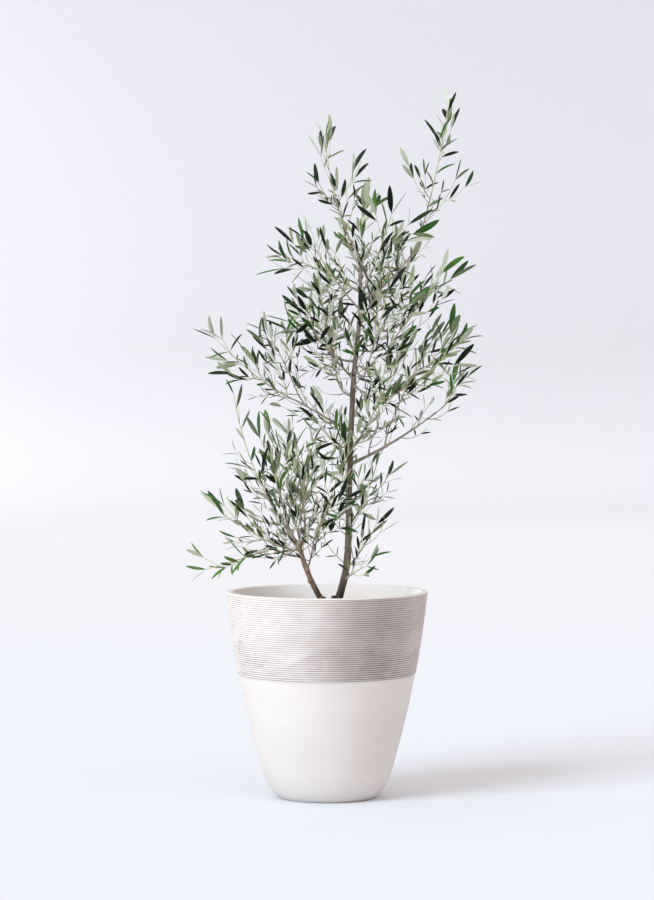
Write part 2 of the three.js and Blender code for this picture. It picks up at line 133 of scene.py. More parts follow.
# One row a bough: name, what it grows from, share along that, tip, how far its middle bows out,
# radius at the root, radius at the tip
BOUGHS = [
    ("leader_bough", "trunk", 1, (33, -4, 831), (8, 0, 4), 2.5, 1.7),
    ("tall_bough", "trunk", 0.87, (134, 34, 819), (10, 0, -8), 2.1, 1.3),
    ("right_bough", "trunk", 0.435, (169, -40, 580), (-6, -8, -16), 2.9, 1.2),
    ("right_inner_riser", "right_bough", 0.22, (74, -50, 555), (-6, -4, -4), 1.4, 1.1),
    ("right_outer_riser", "right_bough", 0.4, (103, -18, 577), (-6, 0, -4), 1.4, 1.1),
    ("right_mid_bough", "trunk", 0.6, (87, -50, 595), (0, -6, -10), 1.9, 1.3),
    ("right_upper_bough", "trunk", 0.7, (91, 0, 671), (4, -4, -10), 1.8, 1.2),
    ("left_bough", "trunk", 0.5, (-42, 20, 588), (0, 6, 0), 2.3, 1.4),
    ("left_riser", "left_bough", 0.86, (-51, 8, 618), (-4, 0, 0), 1.3, 1.0),
    ("left_upper_bough", "trunk", 0.665, (11, 8, 656), (-4, 4, -4), 2.1, 1.4),
    ("front_bough", "trunk", 0.64, (55, -62, 629), (4, -6, -10), 1.8, 1.2),
    ("back_bough", "trunk", 0.575, (17, 62, 617), (-4, 8, -10), 1.9, 1.3),
    ("back_right_bough", "trunk", 0.72, (71, 60, 677), (4, 8, -10), 1.8, 1.2),
    ("stem_left_bough", "second_stem", 1, (-59, -10, 410), (-4, 0, -2), 2.8, 1.8),
    ("stem_right_bough", "second_stem", 0.93, (-33, 12, 412), (5, 2, 0), 2.2, 1.5),
    ("stem_low_bough", "second_stem", 0.82, (-81, -16, 371), (0, -2, -6), 1.9, 1.2),
    ("stem_inner_bough", "second_stem", 0.62, (-20, -34, 384), (2, -6, -4), 1.8, 1.2),
    ("stem_back_bough", "second_stem", 0.74, (-43, 48, 398), (0, 8, -8), 1.8, 1.2),
]

# One row a mass of foliage: name, limb it grows from, share along that, tip of its stem, how far the
# stem's middle bows out, length of its longest twigs, number of twigs, seed
MASSES = [
    ("leader_foliage", "leader_bough", 1, (-2, -10, 979), (-14, 0, 0), 62, 6, 6),
    ("tall_foliage", "tall_bough", 1, (180, 50, 1021), (8, 0, 0), 95, 4, 22),
    ("right_tip_foliage", "right_bough", 1, (186, -52, 617), (6, 0, -6), 75, 5, 10),
    ("right_inner_foliage", "right_inner_riser", 1, (98, -85, 695), (-8, 0, 0), 70, 7, 52),
    ("right_outer_foliage", "right_outer_riser", 1, (168, -10, 688), (-6, 0, 8), 80, 7, 20),
    ("right_mid_foliage", "right_mid_bough", 1, (190, -100, 675), (10, 0, -10), 80, 6, 39),
    ("right_upper_foliage", "right_upper_bough", 1, (169, -30, 778), (0, 0, -4), 80, 6, 44),
    ("left_tip_foliage", "left_bough", 1, (-167, 40, 683), (0, 0, -20), 62, 8, 3),
    ("left_riser_foliage", "left_riser", 1, (-87, 0, 689), (0, 0, 8), 65, 6, 47),
    ("left_mid_foliage", "trunk", 0.615, (-44, -90, 739), (-8, 0, -8), 75, 6, 29),
    ("left_upper_foliage", "left_upper_bough", 1, (-15, -40, 795), (-6, 0, 0), 70, 7, 9),
    ("left_high_foliage", "trunk", 0.92, (-65, 30, 806), (0, 0, 10), 66, 6, 22),
    ("high_left_foliage", "trunk", 0.84, (-26, -50, 830), (-6, 0, -6), 66, 7, 27),
    ("high_back_foliage", "trunk", 0.95, (54, 90, 882), (0, 10, -10), 66, 6, 13),
    ("high_front_foliage", "trunk", 0.89, (94, -100, 863), (0, -10, -10), 70, 6, 36),
    ("high_right_foliage", "trunk", 0.79, (113, 44, 830), (4, 10, -12), 66, 7, 20),
    ("front_foliage", "front_bough", 1, (88, -165, 752), (0, -10, -10), 75, 6, 57),
    ("back_foliage", "back_bough", 1, (-13, 165, 757), (0, 10, -10), 80, 6, 52),
    ("back_right_foliage", "back_right_bough", 1, (128, 160, 800), (0, 10, -10), 80, 6, 37),
    ("back_low_foliage", "trunk", 0.46, (100, 150, 634), (0, 12, -20), 80, 7, 11),
    ("left_low_foliage", "trunk", 0.465, (-12, -60, 556), (0, -4, -14), 60, 5, 36),
    ("low_front_foliage", "trunk", 0.34, (25, -95, 526), (0, -10, -14), 62, 6, 8),
    ("low_back_foliage", "trunk", 0.29, (77, 60, 503), (6, 8, -14), 66, 6, 23),
    ("low_right_foliage", "trunk", 0.17, (73, -20, 407), (0, 0, -10), 55, 5, 20),
    ("low_left_foliage", "trunk", 0.13, (58, -50, 348), (0, 0, 4), 40, 3, 10),
    ("stem_left_foliage", "stem_left_bough", 1, (-86, -40, 539), (-4, 0, 0), 75, 6, 1),
    ("stem_outer_foliage", "second_stem", 0.97, (-140, 50, 599), (-30, 4, -10), 50, 5, 25),
    ("stem_side_foliage", "second_stem", 0.9, (-152, -10, 434), (-10, 0, -24), 70, 7, 8),
    ("stem_right_foliage", "stem_right_bough", 1, (-52, 40, 549), (4, 0, 0), 75, 6, 57),
    ("stem_low_foliage", "stem_low_bough", 1, (-177, -50, 343), (0, 0, 0), 42, 4, 6),
    ("stem_inner_foliage", "stem_inner_bough", 1, (17, -95, 491), (4, -4, -4), 70, 6, 4),
    ("stem_back_foliage", "stem_back_bough", 1, (-22, 135, 519), (0, 10, -6), 80, 6, 33),
]

# Masses that share a piece
CROWN_PARTS = {
    "top": ["leader", "tall", "high_left", "high_back", "high_front", "high_right", "left_high"],
    "right": ["right_tip", "right_inner", "right_outer", "right_mid", "right_upper"],
    "left": ["left_tip", "left_riser", "left_mid", "left_upper", "left_low"],
    "middle": ["front", "back", "back_right", "back_low", "low_front", "low_back"],
    "foot": ["low_right", "low_left", "stem_left", "stem_outer", "stem_side", "stem_right", "stem_low",
             "stem_inner", "stem_back"],
}

# The rule that every mass grows by, as in the part's solids: twigs spiral up its stem, and each bears
# leaves in pairs. Pairs of numbers are the low and the high end of a draw, and angles are in degrees.
MASS_STEM_RADIUS = 1.6
MASS_STEM_TIP = 0.6
MASS_STEM_STEPS = 10
TWIG_ROOT_SHARE = 0.5
TWIG_TIP = 0.5
TWIG_STEPS = 4
TWIG_ZONE = (0.05, 0.8)
TWIG_PLACE = (0.1, 0.9)
GOLDEN_TURN = 137.5
TWIG_TURN = (-30, 30)
TWIG_LEAN = (34, 62)
TWIG_SIZE = (0.75, 1.15)
TWIG_SHORTENING = 0.5
TWIG_LIFT = (0, 0.4)
TWIG_FOLLOW = 0.25
TWIG_CUTS = (1, 0.7)
FIRST_LEAVES = 10
LEAF_SPACING = 17
LEAF_SIZE = (30, 50)
LEAF_WIDTH = (0.14, 0.235)
LEAF_TURN = (-17, 17)
LEAF_LEAN = (28, 72)
LEAF_CLOSING = 0.25
TIP_LEAF_LEAN = (12, 30)
LEAF_TWIST = (-28, 28)
LEAF_GROWTH = {"inner": 0.7, "outer": 1.06, "root": 0.7, "tip": 0.98}
LEAF_ARCH = (-0.5, 1.5)
LEAF_CUP = (0.0, 0.6)
LEAF_BOW = (-0.1, 0.1)
LEAF_LIFT = 0.08
LEAF_SAG = 0.11
BOW_SHAPE = (1.6, -0.6)
LEAF_FOOT = 0.28
TIP_PAIR_CLEARANCE = 8
SPACE_MARGIN = 3
LIMB_CLEARANCE = 2.5
LEAF_FOOT_CLEARANCE = 1.5
POT_CLEARANCE = (162, 316)

# Factors of the seeds, so that twigs, finer twigs, shoots, leaves and greens have draws of their own
TWIG_DRAWS = 7919
FINE_TWIG_DRAWS = 131
SHOOT_DRAWS = 101
LEAF_DRAWS = 613
GREEN_DRAWS = 977
CRUMB_SEED = 4711

# Share of the leaves that have fallen, and how deep the greens of the others are, for all masses, for
# those in one part of the tree, or for one mass. The paler greens of the low left masses are painted light.
LEAF_FALL = {"mass": 0.5, "stem_mass": 0.58, "leader_mass": 0.64, "tall_mass": 0.6,
             "stem_low_foliage": 0.65, "low_back_foliage": 0.72, "low_right_foliage": 0.62,
             "left_tip_foliage": 0.62, "high_left_foliage": 0.62}
LEAF_DEPTH_AND_PAINTED_LIGHT = {"mass": 1, "stem_low_foliage": 0.25, "stem_side_foliage": 0.8}

# What makes a leaf's green deep: a share for its age, one for chance, and one for all
GREEN_SHARES = (0.3, 0.95, 0.1)

# Share of a twig that is brown with age: the mass's stem, its twigs and its finer twigs
OLD_SHARES = (0.35, 0.25, 0)

# Finer twigs than the solids have, two at most on each side twig
FINE_TWIG_PLACES = (0.25, 0.6)
FINE_TWIG_SHIFT = (-0.08, 0.08)
FINE_TWIG_LEAN = (35, 55)
FINE_TWIG_SHARE = (0.32, 0.5)
FINE_TWIG_LEAST = 16
FINE_TWIG_SKIP = 0.3
FINE_TWIG_TIP = 0.4
FINE_TWIG_FOLLOW = 0.2
FINE_TWIG_STEPS = 3

# Short shoots straight from the limbs and from the lower part of each mass's stem, with small leaves.
# On the second stem's boughs they stand close together, and some stems bear none.
SHOOT_START = {"trunk": 88, "second_stem": 70, "right_bough": 70, "bough": 14, "mass": 8}
SHOOT_END = 0.5
SHOOT_SPACING = {"trunk": 12, "limb": 17, "left_limb": 8, "stem_limb": 5, "mass": 24, "left_mass": 11,
                 "stem_mass": 9}
SHOOT_SIZE = (18, 54)
SHOOT_LEAN = (36, 70)
SHOOT_HABIT = {"root": 0.8, "end": FINE_TWIG_TIP, "order": 1, "place": 0, "old": 0.75, "spacing": 9,
               "scale": 0.72, "depth": 1}
SHOOT_LEAF_FALL = (0.4, 0.9)
SHOOT_PLACE = (0.2, 0.8)
SHOOT_LAST = 0.98
BARE_STEMS = ("stem_low_foliage",)

# One leaf: places along it, with its width there as a share of its greatest width and its thickness as
# a share of its length
LEAF_STATIONS = [(0.035, 0.1, 0.020), (0.08, 0.15, 0.018), (0.17, 0.52, 0.014), (0.31, 0.84, 0.013),
                 (0.5, 1.0, 0.013), (0.7, 0.93, 0.012), (0.86, 0.65, 0.011), (0.96, 0.28, 0.010)]
LEAF_SIDES = 8

# Greens of the leaves' upper faces, from the oldest and deepest to the youngest, and of their silvery
# undersides, each a darker and a lighter tone
UPPER_GREENS = [((8, 18, 5), (17, 33, 11)), ((17, 37, 11), (32, 60, 21)), ((34, 67, 22), (54, 96, 36)),
                ((58, 98, 36), (84, 127, 54)), ((86, 116, 54), (116, 142, 78))]
UNDER_GREENS = [((88, 102, 68), (114, 127, 92)), ((128, 140, 105), (152, 163, 129)),
                ((164, 172, 142), (188, 194, 168)), ((190, 196, 174), (214, 219, 202))]

# The stage, in metres: a floor that sweeps up into a backdrop, and tones that its paper turns to
# between two places along an axis: painted shade, darker further back and higher up
FLOOR_SIZE = 120
SWEEP_START = 8
SWEEP_RADIUS = 3
SWEEP_STEPS = 24
BACKDROP_RISE = 3
FLOOR_TONE = (223, 226, 233)
PAPER_PAINTED_SHADE_TONES = [("Y", 1, 5, (225, 225, 229)), ("Y", 6.2, 9.2, (215, 215, 218)),
               ("Z", 0.0, 0.7, (201, 199, 203))]
FILL_COLOUR = (1.0, 0.925, 0.88, 1)
FILL_STRENGTH = 0.94

# The camera stands level with the crown's middle and looks down a little
CAMERA_DISTANCE = 4.9
CAMERA_HEIGHT = 0.68
CAMERA_DIP = 1.905
CAMERA_LENS = 132
FILM_WIDTH = 36

UP = np.array([0.0, 0.0, 1.0])


# The repeatable draws, directions and paths
DRAW_RANGE = 2147483647
DRAW_FACTOR = 16807


def draws(seed):
    """Draws between a low and a high end, which are always the same for one seed."""
    state = seed % DRAW_RANGE

    def draw(low, high):
        nonlocal state
        state = state * DRAW_FACTOR % DRAW_RANGE
        return low + (high - low) * state / DRAW_RANGE

    for _ in range(3):
        draw(0, 1)
    return draw


def mix(low, high, share):
    return low + (high - low) * share


def point(numbers):
    return np.array(numbers, float)


def unit(v):
    return v / (math.sqrt(v @ v) + 1e-12)


def cross(a, b):
    return np.array([a[1] * b[2] - a[2] * b[1], a[2] * b[0] - a[0] * b[2], a[0] * b[1] - a[1] * b[0]])


def bend(start, control, tip, steps):
    shares = np.linspace(0, 1, steps + 1)
    return [(1 - k) ** 2 * start + 2 * k * (1 - k) * control + k * k * tip for k in shares]


def along(path, share):
    place = share * (len(path) - 1)
    k = min(int(place), len(path) - 2)
    return path[k] + (path[k + 1] - path[k]) * (place - k), unit(path[k + 1] - path[k])


def branch(start, axis, reference, turn, size, follow, steps):
    """A path that leaves an axis at a roll and a lean, and bends towards the axis's own way and upwards."""
    roll, lean, lift = turn
    way = side_of(axis, reference, roll) * math.sin(lean) + axis * math.cos(lean)
    tip = start + unit(way + axis * follow + UP * lift) * size
    return bend(start, start + way * size / 2, tip, steps)


def length_of(path):
    return sum(math.dist(a, b) for a, b in zip(path, path[1:]))


def reference_of(path):
    reference = np.zeros(3)
    reference[int(np.argmin(np.abs(path[-1] - path[0])))] = 1
    return reference


def side_of(axis, reference, roll):
    u = unit(cross(axis, reference))
    return u * math.cos(roll) + cross(axis, u) * math.sin(roll)


def smooth_path(points, steps):
    ends = [2 * points[0] - points[1], *points, 2 * points[-1] - points[-2]]
    path = []
    for p0, p1, p2, p3 in zip(ends, ends[1:], ends[2:], ends[3:]):
        for k in range(steps):
            t = k / steps
            path.append(0.5 * (2 * p1 + (p2 - p0) * t + (2 * p0 - 5 * p1 + 4 * p2 - p3) * t**2
                               + (3 * p1 - p0 - 3 * p2 + p3) * t**3))
    return path + [points[-1]]


# The trunk, the second stem and their boughs: a path and a radius at each of its points
limbs = {}


def grow_stem(name, points, sizes):
    path = smooth_path([point(p) for p in points], STEM_STEPS)
    length = length_of(path)
    radii = []
    for share in np.linspace(0, 1, len(path)):
        flare = sizes["flare"] * math.exp(-3 * share * length / FLARE_HEIGHT)
        radii.append(mix(sizes["root"], sizes["end"], share) + flare)
    limbs[name] = (path, radii)


def bowed(limb, at, tip, bow, steps):
    """The path of a bough or of a mass's stem, from a place on a limb to its tip."""
    start, _ = along(limbs[limb][0], at)
    return bend(start, (start + point(tip)) / 2 + point(bow), point(tip), steps)


def grow_bough(name, limb, at, tip, bow, root, end):
    path = bowed(limb, at, tip, bow, BOUGH_STEPS)
    limbs[name] = (path, [mix(root, end, share) for share in np.linspace(0, 1, len(path))])


grow_stem("trunk", TRUNK_POINTS, TRUNK_RADII)
grow_stem("second_stem", SECOND_STEM_POINTS, SECOND_STEM_RADII)
for row in BOUGHS:
    grow_bough(*row)

mass_stems = {name: bowed(*place, MASS_STEM_STEPS) for name, *place, _, _, _ in MASSES}


# The space that each mass keeps to: what is nearer to its stem than to the others, clear of the limbs
def segments_of(paths):
    starts = np.array([a for path in paths for a in path[:-1]])
    ends = np.array([b for path in paths for b in path[1:]])
    owners = np.array([k for k, path in enumerate(paths) for _ in path[1:]])
    return starts, ends, owners


def distances(spots, starts, ends):
    spans = ends - starts
    shares = np.einsum("pij,ij->pi", spots[:, None] - starts, spans) / (spans * spans).sum(1)
    nearest = starts + spans * np.clip(shares, 0, 1)[..., None]
    return np.sqrt(((spots[:, None] - nearest) ** 2).sum(2))


MASS_NAMES = list(mass_stems)
stem_starts, stem_ends, stem_owners = segments_of(list(mass_stems.values()))
limb_starts, limb_ends, _ = segments_of([path for path, _ in limbs.values()])
limb_radii = np.array([r for _, radii in limbs.values() for r in radii[:-1]])


def in_own_space(name, spots):
    apart = distances(spots, stem_starts, stem_ends)
    own = stem_owners == MASS_NAMES.index(name)
    return bool((apart[:, ~own].min(1) - apart[:, own].min(1) > SPACE_MARGIN).all())


def clearances(spots):
    return (distances(spots, limb_starts, limb_ends) - limb_radii).min(1)


def clear_of_pot(spots):
    radius, height = POT_CLEARANCE
    return bool(((np.hypot(spots[:, 0], spots[:, 1]) > radius) | (spots[:, 2] > height)).all())


def is_free(name, spots, clearance):
    in_space = name is None or in_own_space(name, spots)
    return in_space and clearances(spots).min() > clearance and clear_of_pot(spots)


# Twigs and leaves
def setting(table, name, kind):
    """The value for one limb or mass: by its own name, by the part of the tree it is in, or by its kind."""
    part = name.split("_")[0]
    return table.get(name, table.get(f"{part}_{kind}", table[kind]))


def twigs_of(name, limb, at, tip, bow, reach, count, seed):
    stem = mass_stems[name]
    stem_radius = limbs[limb][1][-1] if at == 1 else MASS_STEM_RADIUS
    habit = {"fall": setting(LEAF_FALL, name, "mass"), "depth": setting(LEAF_DEPTH_AND_PAINTED_LIGHT, name, "mass")}
    twigs = [{"path": stem, "root": stem_radius, "end": MASS_STEM_TIP, "order": 0, "place": 0.5,
              "seed": seed * 31 + 1, **habit}]
    draw = draws(seed * TWIG_DRAWS)
    reference = reference_of(stem)
    roll = draw(0, 360)
    for k in range(count):
        place = TWIG_ZONE[0] + TWIG_ZONE[1] * (k + draw(*TWIG_PLACE)) / count
        roll += GOLDEN_TURN + draw(*TWIG_TURN)
        lean = math.radians(draw(*TWIG_LEAN))
        size = reach * (1 - TWIG_SHORTENING * place) * draw(*TWIG_SIZE)
        turn = (math.radians(roll), lean, draw(*TWIG_LIFT))
        for cut in TWIG_CUTS:
            path = branch(*along(stem, place), reference, turn, size * cut, TWIG_FOLLOW, TWIG_STEPS)
            if is_free(name, np.array(path[1:]), LIMB_CLEARANCE):
                root = TWIG_ROOT_SHARE * mix(stem_radius, MASS_STEM_TIP, place)
                twigs.append({"path": path, "root": root, "end": TWIG_TIP, "order": 1, "place": place,
                              "seed": seed * 31 + 7 * k + 2, **habit})
                break
    return twigs + [fine for twig in twigs[1:] for fine in fine_twigs_of(name, twig)]


def fine_twigs_of(name, twig):
    draw = draws(twig["seed"] * FINE_TWIG_DRAWS + 5)
    length = length_of(twig["path"])
    reference = reference_of(twig["path"])
    fine_twigs = []
    for j, place in enumerate(FINE_TWIG_PLACES):
        kept = draw(0, 1) > FINE_TWIG_SKIP
        start, axis = along(twig["path"], place + draw(*FINE_TWIG_SHIFT))
        roll = draw(0, 2 * math.pi)
        lean = math.radians(draw(*FINE_TWIG_LEAN))
        size = length * draw(*FINE_TWIG_SHARE)
        turn = (roll, lean, draw(*TWIG_LIFT))
        path = branch(start, axis, reference, turn, size, FINE_TWIG_FOLLOW, FINE_TWIG_STEPS)
        if kept and size > FINE_TWIG_LEAST and is_free(name, np.array(path[1:]), LIMB_CLEARANCE):
            fine_twigs.append({**twig, "path": path, "root": twig["end"], "end": FINE_TWIG_TIP, "order": 2,
                               "seed": twig["seed"] * 17 + j})
    return fine_twigs


def shoots_of(name, path, first, last, spacing):
    """Short leafy shoots that spiral up a limb or a mass's stem, from the first distance to the last."""
    length = length_of(path)
    reference = reference_of(path)
    draw = draws(sum(ord(letter) for letter in name) * SHOOT_DRAWS)
    roll = draw(0, 360)
    shoots = []
    for k in range(int((last - first) / spacing)):
        share = min(SHOOT_LAST, (first + (k + draw(*SHOOT_PLACE)) * spacing) / length)
        roll += GOLDEN_TURN + draw(*TWIG_TURN)
        lean = math.radians(draw(*SHOOT_LEAN))
        size = draw(*SHOOT_SIZE)
        turn = (math.radians(roll), lean, draw(*TWIG_LIFT))
        shoot = branch(*along(path, share), reference, turn, size, FINE_TWIG_FOLLOW, TWIG_STEPS)
        if is_free(None, np.array(shoot[2:]), LIMB_CLEARANCE):
            shoots.append({**SHOOT_HABIT, "path": shoot, "fall": draw(*SHOOT_LEAF_FALL),
                           "seed": int(draw(1, 99991))})
    return shoots


def inner_shoots():
    shoots = []
    for limb, (path, _) in limbs.items():
        first = SHOOT_START.get(limb, SHOOT_START["bough"])
        shoots += shoots_of(limb, path, first, length_of(path), setting(SHOOT_SPACING, limb, "limb"))
    for mass, path in mass_stems.items():
        if mass not in BARE_STEMS:
            last = SHOOT_END * length_of(path)
            shoots += shoots_of(mass, path, SHOOT_START["mass"], last, setting(SHOOT_SPACING, mass, "mass"))
    return shoots


def leaves_of(name, twig):
    draw = draws(twig["seed"] * LEAF_DRAWS)
    deal = draws(twig["seed"] * GREEN_DRAWS)
    length = length_of(twig["path"])
    reference = reference_of(twig["path"])
    turn = draw(0, 180)
    growth = mix(LEAF_GROWTH["inner"], LEAF_GROWTH["outer"], twig["place"]) * twig.get("scale", 1)
    spacing = twig.get("spacing", LEAF_SPACING)
    pairs = int((length - FIRST_LEAVES) / spacing) + 1 if length > FIRST_LEAVES else 0
    leaves = []
    for i in range(pairs + 1):
        last = i == pairs
        share = min(1, (length if last else FIRST_LEAVES + i * spacing) / length)
        root, axis = along(twig["path"], share)
        for side in (0, 1):
            roll = math.radians(turn + 90 * i + 180 * side + draw(*LEAF_TURN))
            lean = draw(*TIP_LEAF_LEAN) if last else draw(*LEAF_LEAN) * (1 - LEAF_CLOSING * share)
            lean = math.radians(lean)
            size = draw(*LEAF_SIZE) * mix(LEAF_GROWTH["root"], LEAF_GROWTH["tip"], share) * growth
            width = size * draw(*LEAF_WIDTH)
            fall = draw(0, 1)
            arch = draw(*LEAF_ARCH)
            twist = math.radians(draw(*LEAF_TWIST))
            across = side_of(axis, reference, roll)
            line = unit(axis * math.cos(lean) + across * math.sin(lean) + UP * (0 if last else LEAF_LIFT))
            face = axis * math.sin(lean) - across * math.cos(lean)
            face = unit(face - line * (face @ line))
            face = face * math.cos(twist) + cross(line, face) * math.sin(twist)
            edge = cross(line, face)
            near_tip = (1 - share) * length < TIP_PAIR_CLEARANCE
            if not last and (near_tip or fall < twig["fall"]):
                continue
            foot = np.array([root + line * size * LEAF_FOOT])
            middle = root + line * size * 0.5
            half = edge * width / 2
            blade = np.array([middle + half, middle - half, root + line * size * 0.75, root + line * size])
            if is_free(name, foot, LEAF_FOOT_CLEARANCE) and is_free(name, blade, LIMB_CLEARANCE):
                leaves.append({"root": root, "line": line, "face": face, "edge": edge, "size": size,
                               "width": width, "arch": arch, "age": 1 - share * twig["place"],
                               "depth": twig["depth"], "upper": deal(0, 1), "under": deal(0, 1),
                               "cup": deal(0, 1), "bow": deal(*LEAF_BOW)})
    return leaves


# Modelling by hand: what every piece needs
def start_piece():
    bpy.ops.object.select_all(action="DESELECT")


def finish_piece(name, nodes, materials):
    piece = bpy.context.object
    piece.name = name
    piece.data.name = name
    piece.data.materials.clear()
    for material in materials:
        piece.data.materials.append(material)
    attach(piece, "root")
    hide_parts(*nodes)


def extrude_by(x, y, z):
    bpy.ops.mesh.extrude_region_move(TRANSFORM_OT_translate={"value": (x, y, z)})


def shape_all():
    bpy.ops.object.mode_set(mode="EDIT")
    bpy.ops.mesh.select_all(action="SELECT")


def close_shape():
    """Turns all faces outwards and ends the shaping."""
    bpy.ops.mesh.select_all(action="SELECT")
    bpy.ops.mesh.normals_make_consistent(inside=False)
    bpy.ops.object.mode_set(mode="OBJECT")


def joined_copies(spots, faces):
    """One piece from the points of every copy of a shape, and the shape's faces."""
    start_piece()
    bpy.ops.mesh.primitive_plane_add(size=MM)
    piece = bpy.context.object
    piece.data.clear_geometry()
    copies, count, _ = spots.shape
    all_faces = [tuple(v + count * k for v in face) for k in range(copies) for face in faces]
    piece.data.from_pydata(spots.reshape(-1, 3).tolist(), [], all_faces)
    return piece


def apply_modifier(piece, kind, **settings):
    modifier = piece.modifiers.new(kind, kind)
    for key, value in settings.items():
        setattr(modifier, key, value)
    bpy.ops.object.modifier_apply(modifier=modifier.name)


def spots_of(piece, value="co"):
    spots = np.empty(len(piece.data.vertices) * 3)
    piece.data.vertices.foreach_get(value, spots)
    return spots.reshape(-1, 3)


def move_spots(piece, spots):
    piece.data.vertices.foreach_set("co", spots.astype(np.float32).ravel())
    piece.data.update()


def select_spots(piece, is_chosen):
    """Selects the chosen points, and the edges and faces that have no others."""
    for vertex in piece.data.vertices:
        vertex.select = is_chosen(vertex.co)
    for part in (piece.data.edges, piece.data.polygons):
        for item in part:
            item.select = all(piece.data.vertices[v].select for v in item.vertices)


def mark_spots(piece, name, values):
    """Gives each point of a piece a value that its material reads."""
    marks = piece.data.attributes.new(name, "FLOAT", "POINT")
    marks.data.foreach_set("value", np.array(values, np.float32))


# A body turned on the upright axis: its profile is drawn point by point and spun
def turned_body(profile, steps):
    start_piece()
    bpy.ops.mesh.primitive_plane_add(size=MM)
    shape_all()
    bpy.ops.mesh.merge(type="CENTER")
    radius, height = profile[0]
    bpy.ops.transform.translate(value=(radius * MM, 0, height * MM))
    for (r0, z0), (r1, z1) in zip(profile, profile[1:]):
        extrude_by((r1 - r0) * MM, 0, (z1 - z0) * MM)
    bpy.ops.mesh.select_all(action="SELECT")
    bpy.ops.mesh.spin(steps=steps, angle=2 * math.pi, center=(0, 0, 0), axis=(0, 0, 1))
    bpy.ops.mesh.select_all(action="SELECT")
    bpy.ops.mesh.remove_doubles(threshold=0.01 * MM)
    close_shape()
    bpy.ops.object.shade_smooth_by_angle(angle=math.radians(50))
    return bpy.context.object


# The pot
def corner_points(radius, height, size, angles):
    turns = [math.radians(angle) for angle in angles]
    return [(radius + size * math.cos(turn), height + size * math.sin(turn)) for turn in turns]


RIM_CORNER = (RIM_RADIUS - BAND_STEP, POT_HEIGHT - LIP_ROUND)
WALL_RADII, WALL_HEIGHTS = np.array(bend(point(HEEL), point(SHOULDER), point(RIM_CORNER), WALL_STEPS)).T


def wall_radius(height):
    return float(np.interp(height, WALL_HEIGHTS, WALL_RADII))


def is_outside(radius, height):
    return radius > wall_radius(height) - OUTER_SKIN


def pot_profile():
    profile = [(0, 0), *bend(point((FOOT_RADIUS, 0)), point(HEEL_CORNER), point(HEEL), HEEL_STEPS)]
    profile += [(wall_radius(z), z) for z in np.linspace(HEEL[1], BAND_BOTTOM, SIDE_STEPS)[1:]]
    for k in range(RIBS):
        for share, depth in RIB_SHAPE:
            height = BAND_BOTTOM + (k + share) * RIB_PITCH
            profile.append((wall_radius(height) + BAND_STEP - depth * RIB_DEPTH, height))
    outer, inner = LIP_ROUND, LIP_ROUND / 2
    profile += corner_points(RIM_RADIUS - outer, POT_HEIGHT - outer, outer, (-8, 10, 30, 50, 70, 90))
    profile += corner_points(RIM_RADIUS - WALL + inner, POT_HEIGHT - inner, inner, (90, 120, 150, 180))
    inside = np.linspace(POT_HEIGHT - LIP_ROUND, HEEL[1], INSIDE_STEPS)[1:]
    profile += [(wall_radius(z) - WALL, z) for z in inside]
    return profile + [(HEEL_CORNER[0] - WALL, WALL), (0, WALL)]


def wear_ribs(pot):
    """Lets the ribs of the band stray a little, most of all at its foot."""
    spots = spots_of(pot)
    for k, spot in enumerate(spots.copy()):
        radius, height = math.hypot(*spot[:2]), spot[2] / MM
        if height > BAND_BOTTOM + 1 and is_outside(radius / MM, height):
            foot = max(0.0, 1 - (height - BAND_BOTTOM) / FOOT_ZONE)
            wear = noise.noise(Vector(spot * WEAR_OUT_GRAIN))
            spots[k, :2] += spot[:2] / radius * wear * (WEAR_OUT[0] + WEAR_OUT[1] * foot) * MM
            if height < BAND_TOP - 2:
                stray = noise.noise(Vector(spot * WEAR_UP_GRAIN + (0, 0, 7)))
                spots[k, 2] += stray * (WEAR_UP[0] + WEAR_UP[1] * foot) * MM
    move_spots(pot, spots)


# Painted shade: marks how darkly the band's clay is shaded, more where a place faces to the right
def mark_painted_shade(pot):
    shade_marks = []
    for spot in spots_of(pot):
        drift = PAINTED_SHADE_DRIFT * noise.noise(Vector(spot * PAINTED_SHADE_GRAIN))
        shade_marks.append(np.interp(spot[0] / max(math.hypot(*spot[:2]), 1e-6) + drift, *zip(*PAINTED_SHADE_PLACES)))
    mark_spots(pot, "painted_shade", shade_marks)


def clay_at(place):
    radius, height = math.hypot(*place[:2]) / MM, place.z / MM
    if BAND_BOTTOM < height < BAND_TOP and is_outside(radius, height):
        # Painted shade: the grooves get darker clays than the ribs, darker still below a wavering height
        if GROOVE_SHARE < (height - BAND_BOTTOM) / RIB_PITCH % 1 < 1 - GROOVE_SHARE:
            return band_clay
        # Painted shade under the band's step: the lowest groove gets the darkest clay
        if height < BAND_BOTTOM + GROOVE_SHARE * RIB_PITCH:
            return band_edge_painted_shade_clay
        in_darker_grooves = height < DARKER_GROOVE_HEIGHT + DARKER_GROOVE_REACH * noise.noise(place * DARKER_GROOVE_GRAIN)
        return darker_groove_painted_shade_clay if in_darker_grooves else paler_groove_painted_shade_clay
    # Painted light: the inner wall above the soil gets a paler clay than the rest of the pot
    if height > SOIL_HEIGHT and radius < wall_radius(height) - WALL / 2:
        return inner_clay_painted_light
    return pot_clay


def make_pot():
    pot = turned_body(pot_profile(), POT_STEPS)
    wear_ribs(pot)
    mark_painted_shade(pot)
    clays = [pot_clay, band_clay, darker_groove_painted_shade_clay, inner_clay_painted_light, paler_groove_painted_shade_clay, band_edge_painted_shade_clay]
    finish_piece("ribbed_pot", ["pot"], clays)
    for face in pot.data.polygons:
        face.material_index = clays.index(clay_at(face.center))


# The soil, with a loose top, and the crumbs and bark chips that lie on it
def soil_height(x, y):
    place = Vector((x * SOIL_GRAIN, y * SOIL_GRAIN, 0))
    hill = sum(noise.noise(place * closeness) * height for closeness, height in SOIL_HILLS)
    return SOIL_HEIGHT + hill - SOIL_FALL * math.hypot(x, y) / (RIM_RADIUS * MM)


